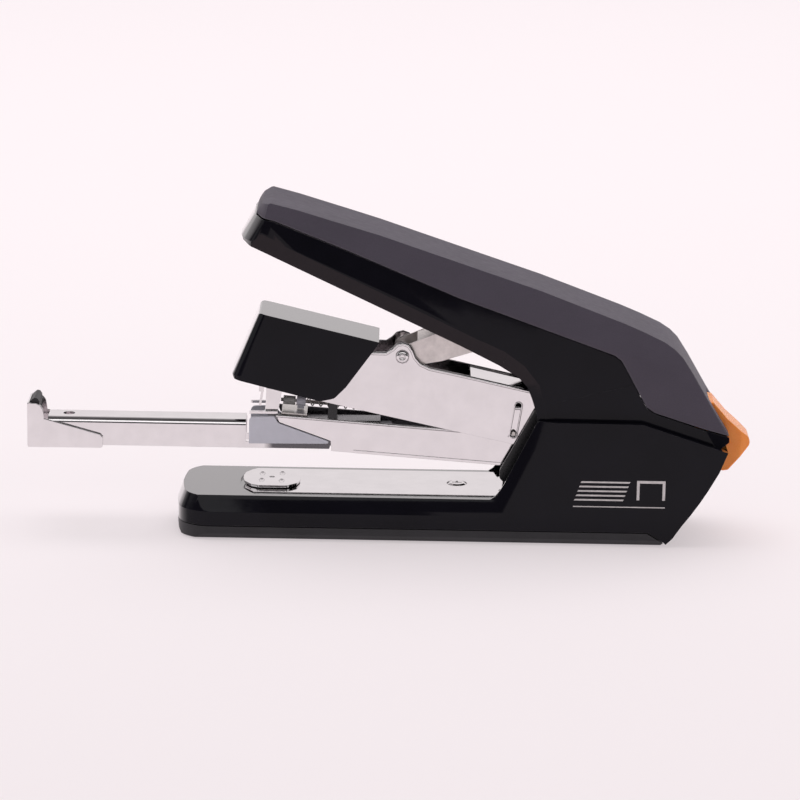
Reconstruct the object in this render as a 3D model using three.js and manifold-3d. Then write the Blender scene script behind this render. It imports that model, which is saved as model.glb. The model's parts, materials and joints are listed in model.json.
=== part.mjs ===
// Front-loading, lever-assisted desktop stapler with its staple drawer pulled out.
// Millimetres, +Z up. X runs along the stapler with the drawer end at -X, Y across it.
// Origin: centre of the base footprint, on the underside.
import * as THREE from "three";
import { mergeVertices } from "three/addons/utils/BufferGeometryUtils.js";
import Module from "manifold-3d";

const wasm = await Module();
wasm.setup();

// ---- driving dimensions -------------------------------------------------
const GAP = 0.3; // clearance between neighbouring pieces
const BASE_HALF_W = 20; // half width of the base and tower
const BASE_FRONT = -80.0;
const BASE_TOP = 14.8; // top face of the base
const FACET_Z = 9.5; // lower edge of the leaning upper facet
const SKIRT_Z = 4.9; // lower edge of the shell, above the bottom cover
const TOWER_WALL = 2.5;
const HANDLE_HALF_W = 17;
const HANDLE_WALL = 2.2;
const PIVOT_HANDLE = [88, 31]; // x, z of the handle's hinge
const PIVOT_ARM = [78, 31.5]; // x, z of the hinge of arm and magazine
const PIN_R = 2;
const MAG_SLOPE = 4; // degrees, magazine falls towards the rear
const MAG_ZERO_Z = 25.5; // height of the magazine's lower edge at x = 0
const MAG_H = 10.65;
const MAG_OUT = 7.4; // half width outside
const MAG_IN = 6.7; // half width inside
const ARM_OUT = 8.7;
const ARM_IN = 7.9;
const RAIL_OUT = 5.5;
const RAIL_IN = 4.8;
const RAIL_TOP = 37.0;
const RAIL_BOTTOM = 27.65;
const DRAWER_HINGE = [-15, 33.75];
const HEAD_OUT = 10.4;
const HEAD_IN = 9.3;
const LINK_A = [-6.3, 60.2]; // rivet on the arm
const LINK_B = [30, 70]; // cross pin in the handle
const ANVIL_X = -48.8;
const BUTTON_HALF_W = 7;

// ---- helpers --------------------------------------------------------------
const rad = (d) => (d * Math.PI) / 180;
const cs = Math.cos(rad(MAG_SLOPE)),
  sn = Math.sin(rad(MAG_SLOPE));
// point of the magazine's sloping frame: s along it from x = 0, t above its lower edge
const M = (s, t) => [s * cs + t * sn, MAG_ZERO_Z - s * sn + t * cs];

function solid(geometry) {
  let g = geometry.index ? geometry.toNonIndexed() : geometry;
  g = new THREE.BufferGeometry().setAttribute("position", g.getAttribute("position"));
  g = mergeVertices(g, 1e-4);
  return new wasm.Manifold(
    new wasm.Mesh({
      numProp: 3,
      vertProperties: new Float32Array(g.attributes.position.array),
      triVerts: new Uint32Array(g.index.array),
    }),
  );
}
const join = (...s) => s.reduce((a, b) => a.add(b));
const cut = (a, ...s) => s.reduce((x, y) => x.subtract(y), a);

// outline with corner radii: each entry is [x, y] or [x, y, r]
function rounded(pts, seg = 3) {
  const out = [];
  const n = pts.length;
  for (let i = 0; i < n; i++) {
    const [x, y, r = 0] = pts[i];
    if (!r) {
      out.push([x, y]);
      continue;
    }
    const p = pts[(i + n - 1) % n],
      q = pts[(i + 1) % n];
    const a = new THREE.Vector2(p[0] - x, p[1] - y).normalize(),
      b = new THREE.Vector2(q[0] - x, q[1] - y).normalize();
    const half = Math.acos(THREE.MathUtils.clamp(a.dot(b), -1, 1)) / 2;
    const t = r / Math.tan(half);
    const c = a.clone().add(b).normalize().multiplyScalar(r / Math.sin(half));
    const A = a.clone().multiplyScalar(t).sub(c),
      B = b.clone().multiplyScalar(t).sub(c);
    const a0 = Math.atan2(A.y, A.x);
    let d = Math.atan2(B.y, B.x) - a0;
    if (d > Math.PI) d -= 2 * Math.PI;
    if (d < -Math.PI) d += 2 * Math.PI;
    for (let k = 0; k <= seg; k++) {
      const w = a0 + (d * k) / seg;
      out.push([x + c.x + r * Math.cos(w), y + c.y + r * Math.sin(w)]);
    }
  }
  return out;
}
const shape = (pts) => {
  const s = new THREE.Shape(pts.map((p) => new THREE.Vector2(p[0], p[1])));
  return s;
};
const extrude = (pts, depth) =>
  new THREE.ExtrudeGeometry(shape(pts), { depth, bevelEnabled: false, steps: 1, curveSegments: 1 });
// side outline (x, z) extruded from y0 to y1
const side = (pts, y0, y1, seg) =>
  solid(extrude(rounded(pts, seg), y1 - y0).rotateX(Math.PI / 2).translate(0, y1, 0));
// plan outline (x, y) extruded from z0 to z1
const plan = (pts, z0, z1, seg) => solid(extrude(rounded(pts, seg), z1 - z0).translate(0, 0, z0));
// plan outline extruded upwards while it leans: dx per unit of height
const leaning = (pts, z0, z1, dx, seg) =>
  solid(
    extrude(rounded(pts, seg), z1 - z0)
      .applyMatrix4(new THREE.Matrix4().set(1, 0, dx, 0, 0, 1, 0, 0, 0, 0, 1, 0, 0, 0, 0, 1))
      .translate(0, 0, z0),
  );
// cross-section (y, z) extruded from x0 to x1, then turned down by an angle about y and moved
const across = (pts, x0, x1, down = 0, at = [0, 0]) =>
  solid(
    extrude(pts, x1 - x0)
      .applyMatrix4(new THREE.Matrix4().set(0, 0, 1, x0, 1, 0, 0, 0, 0, 1, 0, 0, 0, 0, 0, 1))
      .rotateY(rad(down))
      .translate(at[0], 0, at[1]),
  );
const box = (x0, x1, y0, y1, z0, z1) =>
  solid(
    new THREE.BoxGeometry(x1 - x0, y1 - y0, z1 - z0).translate(
      (x0 + x1) / 2,
      (y0 + y1) / 2,
      (z0 + z1) / 2,
    ),
  );
const cylY = ([x, z], r, y0, y1, n = 16) =>
  solid(new THREE.CylinderGeometry(r, r, y1 - y0, n).translate(x, (y0 + y1) / 2, z));
const cylZ = (x, y, r, z0, z1, n = 16, r2 = r) =>
  solid(
    new THREE.CylinderGeometry(r2, r, z1 - z0, n)
      .rotateX(Math.PI / 2)
      .translate(x, y, (z0 + z1) / 2),
  );
// rod from (x, y, z) a to b
const rod = (a, b, r, n = 10) => {
  const p = new THREE.Vector3(...a),
    q = new THREE.Vector3(...b);
  const d = q.clone().sub(p);
  const g = new THREE.CylinderGeometry(r, r, d.length(), n);
  g.applyQuaternion(
    new THREE.Quaternion().setFromUnitVectors(new THREE.Vector3(0, 1, 0), d.normalize()),
  );
  const m = p.add(q).multiplyScalar(0.5);
  return solid(g.translate(m.x, m.y, m.z));
};
const mirrored = (make) => join(make(1), make(-1));
// what lies outside a ruled side face: rows of two points [x, z, half width]
const ruled = (k, rows) =>
  join(
    ...rows.slice(1).map((row, i) =>
      wasm.Manifold.hull(
        [...rows[i], ...row].flatMap(([x, z, y]) => [
          [x, k * y, z],
          [x, k * 18.5, z],
        ]),
      ),
    ),
  );
class Helix extends THREE.Curve {
  constructor(a, b, r, turns) {
    super();
    this.a = new THREE.Vector3(...a);
    this.b = new THREE.Vector3(...b);
    this.r = r;
    this.turns = turns;
    const d = this.b.clone().sub(this.a).normalize();
    this.u = Math.abs(d.y) > 0.9 ? new THREE.Vector3(1, 0, 0) : new THREE.Vector3(0, 1, 0);
    this.v = d.clone().cross(this.u);
  }
  getPoint(t, out = new THREE.Vector3()) {
    const w = 2 * Math.PI * this.turns * t;
    return out
      .copy(this.a)
      .lerp(this.b, t)
      .addScaledVector(this.u, this.r * Math.cos(w))
      .addScaledVector(this.v, this.r * Math.sin(w));
  }
}
const coil = (a, b, r, wire, turns, per = 7) => {
  const s = new THREE.Shape();
  for (let i = 0; i < 4; i++) {
    const w = (i * Math.PI) / 2;
    i ? s.lineTo(wire * Math.cos(w), wire * Math.sin(w)) : s.moveTo(wire, 0);
  }
  return solid(
    new THREE.ExtrudeGeometry(s, {
      steps: Math.round(turns * per),
      bevelEnabled: false,
      extrudePath: new Helix(a, b, r, turns),
    }),
  );
};

const group = new THREE.Group();
const finishes = {
  gloss_black: [0x17161a, 0.18, 0.0],
  matte_black: [0x3d3b42, 0.62, 0.0],
  band_black: [0x2a292d, 0.45, 0.0],
  rubber: [0x1b1b1c, 0.9, 0.0],
  chrome: [0xd9d6d3, 0.16, 1.0],
  steel: [0xbdb6ae, 0.32, 1.0],
  black_steel: [0x161617, 0.4, 0.6],
  grey_plastic: [0xbfc0c8, 0.45, 0.0],
  clear_plastic: [0xe8e8e6, 0.3, 0.0],
  orange: [0xd6803c, 0.35, 0.0],
  grip: [0x35333a, 0.6, 0.0],
};
const materials = {};
for (const [k, [c, r, m]] of Object.entries(finishes))
  materials[k] = new THREE.MeshStandardMaterial({ name: k, color: c, roughness: r, metalness: m });
function node(name, s, finish) {
  const m = s.getMesh();
  const v = new Float32Array(m.numVert * 3);
  for (let i = 0; i < m.numVert; i++)
    v.set(m.vertProperties.subarray(i * m.numProp, i * m.numProp + 3), i * 3);
  const g = new THREE.BufferGeometry()
    .setAttribute("position", new THREE.BufferAttribute(v, 3))
    .setIndex(new THREE.BufferAttribute(new Uint32Array(m.triVerts), 1));
  g.computeVertexNormals();
  const mesh = new THREE.Mesh(g, materials[finish]);
  mesh.name = name;
  group.add(mesh);
}

// ---- base -----------------------------------------------------------------
// plan of the base: bowed front with round corners, square rear cut by the side outline
const basePlan = (inset, xr = 110) => {
  const w = BASE_HALF_W - inset,
    f = BASE_FRONT + inset;
  return [
    [f, 0],
    [f + 0.25, -4.5],
    [f + 1.7, -w, Math.min(11 - inset, w * 0.62)],
    [xr, -w],
    [xr, w],
    [f + 1.7, w, Math.min(11 - inset, w * 0.62)],
    [f + 0.25, 4.5],
  ].reverse();
};
const rearLine = [
  [100.4, 32.4],
  [97.8, 25.7],
  [94.4, 19.6],
  [91.8, 15.4],
  [89.0, 11.3],
  [85.9, 7.2],
  [83.1, 3.0],
  [81.0, 1.0],
];
{
  // block below the top face, with the leaning facet round its upper edge
  let block = side(
    [
      [BASE_FRONT - 1, SKIRT_Z],
      [74.9, SKIRT_Z],
      [79.9, 1.9],
      ...rearLine.slice().reverse(),
      [100.4, 33],
      [BASE_FRONT - 1, 33],
    ],
    -BASE_HALF_W,
    BASE_HALF_W,
  ).intersect(plan(basePlan(0), 0, BASE_TOP, 8));
  // leaning facet: long sides and nose
  block = cut(
    block,
    across([[-21, FACET_Z], [-20, FACET_Z], [-18.1, BASE_TOP], [-18.1, 16], [-21, 16]], -90, 36),
    across([[21, 16], [18.1, 16], [18.1, BASE_TOP], [20, FACET_Z], [21, FACET_Z]], -90, 36),
    cut(
      box(-82, -60, -21, 21, FACET_Z, 16),
      leaning(basePlan(0, -40), FACET_Z - 0.01, 16.5, 0.36, 8),
    ),
  );
  // tower cheeks and rear wall
  const cheek = [
    [20.5, 9],
    [23.2, 14.8],
    [24.8, 15.9],
    [26.4, 18.0],
    [27.6, 20.0],
    [30.6, 26.0],
    [34.5, 34.0],
    [38.2, 41.6, 0.8],
    [72.4, 41.4, 3],
    ...rearLine.slice(0, 6),
    [80, 7],
    [30, 9],
  ].reverse();
  const inner = BASE_HALF_W - TOWER_WALL;
  // the same leaning facet runs up the front edge of each cheek
  const band = (k) =>
    across(
      k > 0
        ? [[21, -5.3], [21, 9], [18.1, 9], [18.1, 0], [20, -5.3]]
        : [[-20, -5.3], [-18.1, 0], [-18.1, 9], [-21, 9], [-21, -5.3]],
      -30,
      34,
      -63.9,
      [27.6, 20],
    );
  const cheeks = cut(
    mirrored((k) => side(cheek, k > 0 ? inner : -BASE_HALF_W, k > 0 ? BASE_HALF_W : -inner)),
    band(1),
    band(-1),
  );
  const rear = side(
    [...rearLine.slice(0, 5), [86.6, 11.3], [89.3, 15.4], [92, 19.8], [95.3, 25.9], [97.0, 30.2]],
    -inner - 0.2,
    inner + 0.2,
  );
  let shell = join(block, cheeks, rear);
  shell = cut(
    shell,
    plan([[-75.5, -17.6, 4], [78.5, -17.6], [78.5, 17.6], [-75.5, 17.6, 4]], -1, 12.2), // hollow below
    plan(
      [[-59.2, -3.2, 3], [-58.2, -8.8, 3], [-54.6, -15, 1.5], [28.9, -15, 4], [28.9, 15, 4], [-54.6, 15, 1.5], [-58.2, 8.8, 3], [-59.2, 3.2, 3]],
      BASE_TOP - 0.7,
      16,
    ), // seat of the bed plate
    cylZ(ANVIL_X, 0, 1.9, 10, 16), // anvil post
    cylZ(12.5, 0, 1.8, 10, 16), // bed screw
    box(93, 104, -BUTTON_HALF_W - 0.6, BUTTON_HALF_W + 0.6, 22.2, 40), // window of the release button
    mirrored((k) => cylZ(40, 11.8 * k, 1.0, 10, 16, 8)), // bracket studs
    mirrored((k) => cylZ(76, 11.8 * k, 1.0, 10, 16, 8)),
  );
  node("base_shell", shell, "gloss_black");
}
{
  let cover = side(
    [
      [BASE_FRONT - 1, 0.5],
      [79.4, 0.5],
      [80.1, 1.2],
      [79.6, 1.65],
      [74.7, 4.6],
      [BASE_FRONT - 1, 4.6],
    ],
    -BASE_HALF_W,
    BASE_HALF_W,
  ).intersect(plan(basePlan(0.1), 0, 6, 8));
  // chamfer round the lower edge
  const c = (k) =>
    across(
      k > 0
        ? [[21, 0], [21, 2.4], [20, 2.4], [18.6, 0.4], [18.6, 0]]
        : [[-18.6, 0], [-18.6, 0.4], [-20, 2.4], [-21, 2.4], [-21, 0]],
      -90,
      90,
    );
  cover = cut(
    cover,
    c(1),
    c(-1),
    side([[-82, 0], [-78.1, 0], [-78.1, 0.5], [-80.0, 3.1], [-82, 3.1]], -21, 21),
    plan([[-74.9, -17, 4], [70, -17, 1], [70, 17, 1], [-74.9, 17, 4]], 2.7, 6), // tray
    plan([[-74, -15.3, 4], [74, -15.3, 3], [74, 15.3, 3], [-74, 15.3, 4]], 0, 1.7), // seat of the pad
    cylZ(-62, 0, 1.9, -1, 4, 12),
    cylZ(60, 0, 1.9, -1, 4, 12),
  );
  node("bottom_cover", cover, "band_black");
  node(
    "antislip_pad",
    cut(
      plan([[-73.7, -15, 4], [73.7, -15, 3], [73.7, 15, 3], [-73.7, 15, 4]], 0, 1.4),
      cylZ(-62, 0, 3.2, -1, 4, 12),
      cylZ(60, 0, 3.2, -1, 4, 12),
    ),
    "rubber",
  );
}
// steel stiffening plate inside the base
node(
  "base_steel_plate",
  cut(
    plan([[-72, -15.5, 2], [75, -15.5, 2], [75, 15.5, 2], [-72, 15.5, 2]], 10.7, 11.9),
    cylZ(ANVIL_X, 0, 4.2, 10, 13),
    cylZ(12.5, 0, 1.8, 10, 13),
    cylZ(-62, 0, 1.6, 10, 13, 12),
    cylZ(60, 0, 1.6, 10, 13, 12),
    mirrored((k) => cylZ(40, 11.8 * k, 1.0, 10, 16, 8)),
    mirrored((k) => cylZ(76, 11.8 * k, 1.0, 10, 16, 8)),
  ),
  "steel",
);
for (const [name, x] of [["bottom_screw_front", -62], ["bottom_screw_rear", 60]])
  node(
    name,
    cut(join(cylZ(x, 0, 2.6, 0.6, 1.4, 12), cylZ(x, 0, 1.3, 1.2, 11.5, 12)), box(x - 2, x + 2, -0.35, 0.35, 0, 1.0)),
    "steel",
  );

// bed plate: polished sheet with a hole for the anvil post, a sunk screw and an upturned rear lip
node(
  "bed_plate",
  cut(
    join(
      plan([[-57.3, -9.6, 2], [-54.2, -14.7, 1.5], [28.6, -14.7, 4], [28.6, 14.7, 4], [-54.2, 14.7, 1.5], [-57.3, 9.6, 2]], BASE_TOP - 0.4, BASE_TOP + 0.4, 4),
      side([[25.6, 15], [28.4, 15], [28.4, 18.6, 0.4], [27.4, 18.6, 0.4], [27.2, 15.8]], -8, 8),
    ),
    cylZ(ANVIL_X, 0, 1.9, 10, 16),
    cylZ(12.5, 0, 1.7, 10, 16),
    cylZ(12.5, 0, 3.4, BASE_TOP - 0.05, 17, 20),
  ),
  "chrome",
);
node(
  "bed_screw",
  cut(
    join(cylZ(12.5, 0, 3.0, 15.05, 15.5, 16, 2.5), cylZ(12.5, 0, 1.35, 10.4, 15.1, 12)),
    box(10.9, 14.1, -0.35, 0.35, 15.2, 16),
    box(12.15, 12.85, -1.6, 1.6, 15.2, 16),
  ),
  "chrome",
);
// anvil plate: turns half round on its post to swap the two pairs of clinching dimples
{
  const z0 = BASE_TOP + 0.7,
    z1 = z0 + 0.8;
  const outline = [
    [-9.4, -1.6, 2],
    [-8.9, -5.2, 3],
    [-6.6, -9.2, 2],
    [-4.2, -10.6, 1],
    [5.2, -10.6, 2],
    [8.5, -7.2, 3],
    [9.4, -3.0, 2],
    [9.4, 3.0, 2],
    [8.5, 7.2, 3],
    [5.2, 10.6, 2],
    [-4.2, 10.6, 1],
    [-6.6, 9.2, 2],
    [-8.9, 5.2, 3],
    [-9.4, 1.6, 2],
  ].map(([x, y, r]) => [x + ANVIL_X, y, r]);
  const dimple = (x, y, s) => {
    // shallow curved groove along y, deeper at its middle
    const g = new THREE.SphereGeometry(1, 12, 7).scale(0.95, 2.3, 0.6).translate(ANVIL_X + x, y * s, z1 + 0.05);
    return solid(g);
  };
  node(
    "anvil_plate",
    cut(
      join(plan(outline, z0, z1, 2), cylZ(ANVIL_X, 0, 1.5, 8.6, z0 + 0.1, 12)),
      cylZ(ANVIL_X, 0, 0.9, z1 - 0.25, z1 + 1, 12),
      dimple(-3.3, 4.0, 1),
      dimple(-3.3, 4.0, -1),
      dimple(3.3, 4.6, 1),
      dimple(3.3, 4.6, -1),
    ),
    "chrome",
  );
  node(
    "anvil_clip",
    cut(cylZ(ANVIL_X, 0, 3.6, 9.0, 9.8, 16), cylZ(ANVIL_X, 0, 1.8, 8, 11, 12), box(ANVIL_X, ANVIL_X + 5, -0.9, 0.9, 8, 11)),
    "steel",
  );
}
// black steel bracket inside the tower: cheeks either side of the arm, joined by a floor
node(
  "pivot_bracket",
  cut(
    join(
      mirrored((k) =>
        side(
          [
            [37.4, 43.4, 0.6],
            [26.4, 22.9],
            [26.2, 20.2, 1.5],
            [31.0, 15.2],
            [87.8, 15.2],
            [91.6, 21.8, 1],
            [92.4, 33, 2],
            [90, 42, 1],
            [85.0, 42, 1],
            [80, 38.0],
            [60, 38.2],
            [42, 41.5],
          ],
          k > 0 ? 9.4 : -10.6,
          k > 0 ? 10.6 : -9.4,
        ),
      ),
      plan([[31, -13.6, 1], [86, -13.6, 1], [86, 13.6, 1], [31, 13.6, 1]], 15.2, 16.4, 2),
      box(85.2, 86.2, -9.6, 9.6, 36.2, 41.6), // stop of the button spring
    ),
    cylY(PIVOT_HANDLE, PIN_R + GAP, -20, 20),
    cylY(PIVOT_ARM, PIN_R + GAP, -20, 20),
    mirrored((k) => cylZ(40, 11.8 * k, 1.0, 10, 17, 8)),
    mirrored((k) => cylZ(76, 11.8 * k, 1.0, 10, 17, 8)),
  ),
  "black_steel",
);
for (const [name, x, y] of [
  ["bracket_rivet_fl", 40, -11.8],
  ["bracket_rivet_fr", 40, 11.8],
  ["bracket_rivet_rl", 76, -11.8],
  ["bracket_rivet_rr", 76, 11.8],
])
  node(name, join(cylZ(x, y, 1.2, 16.75, 17.6, 8), cylZ(x, y, 0.7, 10.4, 17, 8)), "steel");
node("arm_pin", cylY(PIVOT_ARM, PIN_R, -11.2, 11.2), "steel");
node("handle_pin", cylY(PIVOT_HANDLE, PIN_R, -16.2, 16.2), "steel");
node(
  "handle_spring",
  coil([PIVOT_HANDLE[0], -6.3, PIVOT_HANDLE[1]], [PIVOT_HANDLE[0], 6.3, PIVOT_HANDLE[1]], 2.95, 0.42, 7, 7),
  "steel",
);

// ---- release button ---------------------------------------------------------
node(
  "release_button",
  cut(
    side(
      [
        [96.2, 46.0, 0.8],
        [94.5, 46.2],
        [94.5, 24.0],
        [97.5, 23.7],
        [99.8, 22.9, 0.8],
        [101.6, 23.2, 0.8],
        [108.8, 31.6, 2.2],
        [108.3, 34.0, 2.0],
        [100.9, 40.6],
      ],
      -BUTTON_HALF_W,
      BUTTON_HALF_W,
      3,
    ).intersect(plan([[94, -7, 0], [105.5, -7, 0], [109.5, -4.6, 0], [109.5, 4.6, 0], [105.5, 7, 0], [94, 7, 0]], 20, 50)),
    box(93, 97, -1.3, 1.3, 24.6, 27.4),
    box(93, 98, -5.2, 5.2, 36.4, 41),
  ),
  "orange",
);
node("release_rod", rod([72.2, 0, 26], [96.6, 0, 26], 0.9, 8), "steel");
node("button_spring", coil([86.6, 0, 38.6], [97.6, 0, 38.6], 1.5, 0.3, 6, 6), "steel");

// ---- magazine ------------------------------------------------------------------
{
  const wall = [
    [-47.4, 39.4],
    [-46.4, 37.0],
    [-29.4, 30.9],
    [-29.2, 27.5],
    M(40, 0),
    M(72, 0),
    [80, 25.0],
    [82.4, 30.0, 1],
    [81, 35.2, 2],
    [74, 35.6],
    [60, 34.0],
    M(44, MAG_H),
    [37.2, 39.0, 1.0],
    [36.2, 43.2, 1.5],
    [27.6, 43.5, 1.5],
    [26.4, 39.0, 1.0],
    M(16, MAG_H),
  ];
  node(
    "magazine_channel",
    cut(
      join(
        mirrored((k) => side(wall, k > 0 ? MAG_IN : -MAG_OUT, k > 0 ? MAG_OUT : -MAG_IN, 2)),
        // hem along the lower edge
        mirrored((k) =>
          side([M(-22, 0), M(62, 0), M(62, 0.9), M(-22, 0.9)], k > 0 ? MAG_OUT - 0.1 : -MAG_OUT - 0.3, k > 0 ? MAG_OUT + 0.3 : -MAG_OUT + 0.1),
        ),
        // floor at the rear, with the spring rod's upright tab
        side([M(64.5, 0), M(72, 0), M(72, 0.8), M(64.5, 0.8)], -MAG_OUT, MAG_OUT),
      ),
      cylY(PIVOT_ARM, PIN_R + GAP, -20, 20, 12),
      cylY([30.6, 34.9], 0.95, -20, 20, 8),
    ),
    "chrome",
  );
  for (const [name, k] of [["nose_guide_near", -1], ["nose_guide_far", 1]])
    node(
      name,
      side(
        [
          [-56.3, 29.6],
          [-29.6, 29.9, 0.5],
          [-30.4, 30.9, 0.5],
          [-46.8, 36.75, 1.5],
          [-48.1, 39.0, 0.5],
          [-56.3, 38.7, 1.6],
        ].reverse(),
        k > 0 ? MAG_IN - 0.1 : -MAG_OUT - 0.25,
        k > 0 ? MAG_OUT + 0.25 : -MAG_IN + 0.1,
      ),
      "grey_plastic",
    );
  // bridge over the nose: a ring round the driver's path with two upright ears behind it
  node(
    "nose_bridge",
    join(
      cut(
        side([[-56.2, 39.8], [-48.0, 39.8], [-46.9, 40.0], [-46.9, 40.7], [-56.2, 40.6]].reverse(), -7.7, 7.7),
        box(-57, -51.2, -6.6, 6.6, 36, 44),
      ),
      mirrored((k) =>
        side(
          [[-51.0, 40.1], [-46.9, 40.1], [-45.6, 47.2], [-50.8, 48.2]],
          k > 0 ? 5.4 : -6.2,
          k > 0 ? 6.2 : -5.4,
        ),
      ),
    ),
    "chrome",
  );
  node("limit_pin", cylY([30.6, 34.9], 0.65, -9.3, 9.3, 8), "steel");
  // black arch that ties the walls and lets the pusher's collar pass under it
  node(
    "spring_arch",
    cut(
      side([M(-31.4, MAG_H + 0.3), M(-28.4, MAG_H + 0.3), M(-28.4, 17.0), M(-31.4, 17.0)], -MAG_OUT, MAG_OUT),
      side([M(-33, 9), M(-27, 9), M(-27, 11.7), M(-33, 11.7)], -MAG_IN, MAG_IN),
      side([M(-33, 9), M(-27, 9), M(-27, 16.2), M(-33, 16.2)], -2.5, 2.5),
    ),
    "black_steel",
  );
  const a = M(-47.2, 14.1),
    b = M(57.4, 14.1);
  node("spring_rod", rod([a[0], 0, a[1]], [b[0], 0, b[1]], 0.6, 8), "steel");
  const c = M(-38.6, 14.1),
    d = M(54.4, 14.1);
  node("pusher_spring", coil([c[0], 0, c[1]], [d[0], 0, d[1]], 1.25, 0.24, 34, 6), "steel");
  node(
    "rod_stop",
    cut(
      side([M(54.8, 10.9), M(56.4, 10.9), M(56.4, 16), M(54.8, 16)], -MAG_IN + 0.2, MAG_IN - 0.2),
      side([M(54, 13.2), M(57, 13.2), M(57, 15.0), M(54, 15.0)], -0.9, 0.9),
    ),
    "steel",
  );
}
// pusher: saddle over the rail with a collar on the spring rod
{
  node(
    "staple_pusher",
    cut(
      side([M(-46.6, 8.6), M(-38.2, 8.6), M(-38.2, 11.4), M(-46.6, 11.4)], -6.4, 6.4),
      side([M(-48, 3), M(-36, 3), M(-36, 10.75), M(-48, 10.75)], -5.8, 5.8),
    ),
    "steel",
  );
  const ring = (s0, s1, r) => {
    const a = M(s0, 14.1),
      b = M(s1, 14.1);
    return rod([a[0], 0, a[1]], [b[0], 0, b[1]], r, 12);
  };
  node(
    "pusher_sleeve",
    cut(ring(-46.4, -42.4, 1.5), ring(-48, -40, 0.9)),
    "clear_plastic",
  );
  node(
    "pusher_knob",
    cut(ring(-42.0, -39.0, 1.6).add(side([M(-41.6, 11.7), M(-39.4, 11.7), M(-39.4, 13.6), M(-41.6, 13.6)], -0.8, 0.8)), ring(-48, -30, 0.9)),
    "grey_plastic",
  );
}
// latch that holds the closed drawer, a bell crank pushed by the release rod
node(
  "drawer_latch",
  cut(
    side(
      [
        [59.4, 31.9],
        [59.4, 30.8],
        [60.6, 30.8],
        [60.9, 31.2],
        [65.2, 29.6],
        [67.2, 25.0],
        [67.4, 24.4],
        [69.2, 24.4],
        [70.2, 30, 1.5],
        [68.6, 32.6, 1.5],
      ],
      -2.6,
      2.6,
      2,
    ),
    cylY([67.6, 30.0], 1.1, -5, 5, 8),
  ),
  "steel",
);
node("latch_pin", cylY([67.6, 30.0], 0.8, -6.4, 6.4, 8), "steel");

// ---- drawer ----------------------------------------------------------------------
node(
  "drawer_carriage",
  cut(
    join(
      side([[-19.6, 32.4], [-9.4, 32.2], [-9.4, 35.0], [-19.6, 35.2]], -4.4, 4.4),
      cylY(DRAWER_HINGE, 1.0, -5.4, 5.4, 10),
    ),
    cylY([-11.5, 33.6], 0.7, -6, 6, 6),
  ),
  "grey_plastic",
);
{
  const b = RAIL_BOTTOM,
    t = RAIL_TOP;
  const cheekLine = [
    [-128.2, b],
    [-29.9, b],
    [-29.6, 28.8],
    [-13.2, 28.8],
    [-13.2, t],
    [-50.4, t],
    [-50.4, 29.75],
    [-57.4, 29.75],
    [-57.4, t],
    [-122.6, t],
    [-122.6, 29.6],
    [-128.2, 29.6],
  ];
  node(
    "drawer_rail",
    cut(
      join(
        mirrored((k) => side(cheekLine, k > 0 ? RAIL_IN : -RAIL_OUT, k > 0 ? RAIL_OUT : -RAIL_IN)),
        side([[-122.6, t - 0.8], [-57.4, t - 0.8], [-57.4, t], [-122.6, t]], -RAIL_OUT, RAIL_OUT),
        side([[-50.4, t - 0.8], [-13.2, t - 0.8], [-13.2, t], [-50.4, t]], -RAIL_OUT, RAIL_OUT),
      ),
      // round bends along the top edges
      mirrored((k) => {
        const r = 1.8;
        const arc = [];
        for (let i = 0; i <= 6; i++) {
          const w = (i * Math.PI) / 12;
          arc.push([k * (RAIL_OUT - r + r * Math.cos(w)), t - r + r * Math.sin(w)]);
        }
        const out = [...arc, [k * (RAIL_OUT - r), t + 1], [k * 6.4, t + 1], [k * 6.4, t - r]];
        return across(k > 0 ? out.reverse() : out, -125, -12);
      }),
      cylZ(-116, 0, 2.0, 30, 40, 12),
      cylY(DRAWER_HINGE, 1.3, -20, 20, 10),
    ),
    "chrome",
  );
  // front cap: plate with a turned-over top and long cheeks that stand off the rail
  const flange = [
    [-129.3, 27.4, 0.5],
    [-129.0, 26.8],
    [-105.0, 26.9, 0.5],
    [-104.5, 27.4],
    [-104.5, 30.6],
    [-105.3, 31.5],
    [-123.7, 36.5],
    [-123.9, 38.1],
    [-124.2, 39.8],
    [-124.9, 40.95],
    [-126.4, 41.7],
    [-128.7, 41.75],
    [-129.3, 41.3],
  ];
  node(
    "drawer_cap",
    join(
      mirrored((k) => side(flange, k > 0 ? 5.75 : -6.35, k > 0 ? 6.35 : -5.75)),
      side([[-129.3, 27.4], [-128.6, 27.2], [-128.6, 42.0], [-129.3, 41.6]], -6.35, 6.35),
    ),
    "chrome",
  );
  // ribbed finger grip on the cap
  node(
    "drawer_grip",
    cut(
      side(
        [
          [-128.3, 38.4],
          [-126.4, 38.2],
          [-125.9, 37.7, 0.3],
          [-125.3, 38.6],
          [-125.2, 40.6],
          [-125.4, 42.2],
          [-126.0, 43.1],
          [-127.0, 43.3],
          [-128.3, 42.2],
        ],
        -5.45,
        5.45,
      ),
      // ribs across the pulling face
      ...[39.0, 40.2, 41.4].map((z) => side([[-125.5, z], [-125.0, z], [-125.0, z + 0.55], [-125.5, z + 0.55]], -5.0, 5.0)),
    ),
    "grip",
  );
}

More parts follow.
